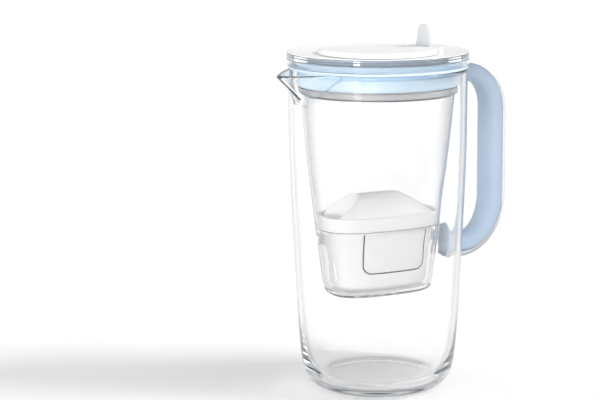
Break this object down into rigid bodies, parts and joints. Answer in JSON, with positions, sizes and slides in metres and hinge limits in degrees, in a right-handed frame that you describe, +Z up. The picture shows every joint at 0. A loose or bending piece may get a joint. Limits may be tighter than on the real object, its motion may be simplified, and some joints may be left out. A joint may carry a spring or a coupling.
{
  "type": "water filter pitcher",
  "caption": "Tall round glass water filter pitcher with a pouring spout, side handle, drop-in funnel holding an oval filter cartridge, and a round lid with a hinged filling flap.",
  "frame": {"origin": "middle of the flat underside of the glass jug", "axes": "+Z up along the jug's axis, +X from the axis towards the handle, -X towards the pouring spout"},
  "size_m": [0.2229, 0.15, 0.3004],
  "materials": {
    "jug_glass": "clear polished glass",
    "handle_blue": "satin moulded light blue plastic",
    "handle_clear": "clear moulded plastic",
    "bond_clear": "clear adhesive bond",
    "funnel_clear": "clear moulded plastic",
    "collar_blue": "soft glossy light blue plastic",
    "cartridge_white": "satin moulded white plastic",
    "screen_grey": "woven plastic mesh",
    "media_dark": "granular carbon and resin beads",
    "lid_white": "fine satin white plastic",
    "lid_clear": "clear moulded plastic",
    "tab_grey": "satin light grey plastic",
    "pin_grey": "moulded plastic"
  },
  "bodies": {
    "jug": {"glass_jug": "jug_glass", "handle_core": "handle_blue", "handle_strip": "handle_clear", "upper_bond_pad": "bond_clear", "lower_bond_pad": "bond_clear"},
    "funnel": {"funnel": "funnel_clear", "lower_seal_collar": "collar_blue", "upper_seal_collar": "collar_blue"},
    "cartridge": {"cartridge_cup": "cartridge_white", "cartridge_cap": "cartridge_white", "inlet_screen": "screen_grey", "filter_media": "media_dark", "outlet_screen": "screen_grey"},
    "lid": {"lid_top": "lid_white", "lid_clear_ring": "lid_clear", "hinge_pin": "pin_grey"},
    "flap": {"filling_flap": "lid_white", "thumb_tab": "tab_grey"}
  },
  "joints": [
    {"name": "funnel_lift", "type": "slide", "parent": "jug", "child": "funnel", "axis": [0, 0, 1], "range_m": [0, 0.2]},
    {"name": "cartridge_lift", "type": "slide", "parent": "funnel", "child": "cartridge", "axis": [0, 0, 1], "range_m": [0, 0.09]},
    {"name": "lid_lift", "type": "slide", "parent": "funnel", "child": "lid", "axis": [0, 0, 1], "range_m": [0, 0.06]},
    {"name": "flap_hinge", "type": "hinge", "parent": "lid", "child": "flap", "pos_m": [0.0445, 0, 0.28035], "axis": [0, 1, 0], "range_deg": [0, 75]}
  ]
}
